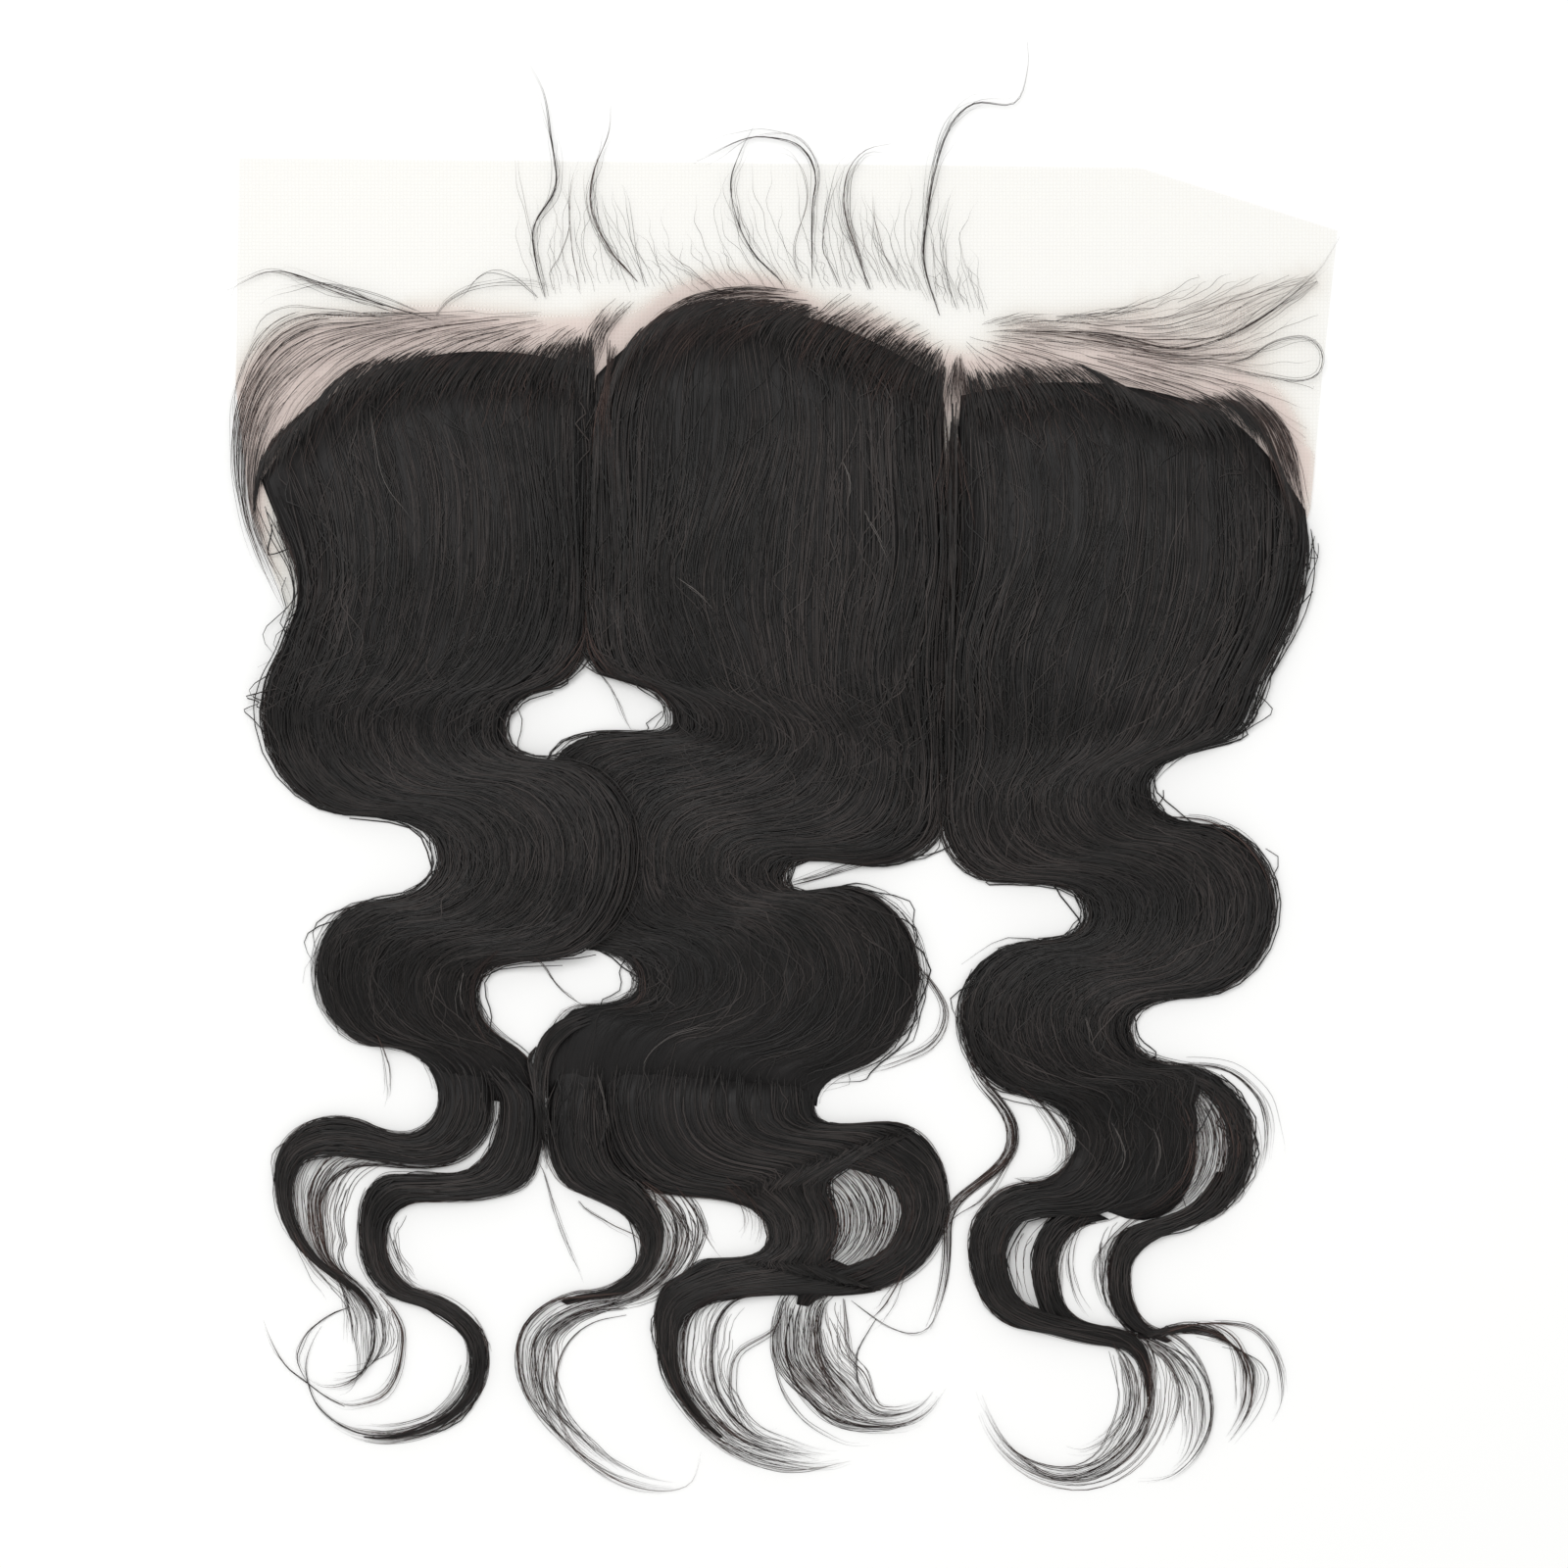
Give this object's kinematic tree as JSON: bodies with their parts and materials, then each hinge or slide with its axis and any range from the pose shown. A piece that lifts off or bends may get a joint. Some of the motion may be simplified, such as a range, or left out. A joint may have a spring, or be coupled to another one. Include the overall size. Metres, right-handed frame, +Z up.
{
  "type": "lace frontal hairpiece",
  "caption": "Sheer lace frontal lying flat, with long dark body-wave hair in three sections that end in curled tails, and fine wisps laid forward over the bare lace.",
  "frame": {"origin": "centre of the lace base's underside, on the surface that the piece lies on", "axes": "+X to the right as pictured, +Y from the hair's tips towards the lace's front edge, +Z up out of the surface"},
  "size_m": [0.3393, 0.4411, 0.0117],
  "materials": {
    "lace": "sheer cream lace",
    "hair": "near-black brown hair, soft sheen along the strands"
  },
  "bodies": {
    "root": {"lace_base": "lace", "left_section": "hair", "centre_section": "hair", "right_section": "hair", "front_wisp_a": "hair", "front_wisp_b": "hair", "front_wisp_c": "hair", "front_wisp_d": "hair", "front_wisp_e": "hair", "front_wisp_f": "hair", "side_wisp_left": "hair", "side_wisp_right": "hair"}
  },
  "joints": []
}
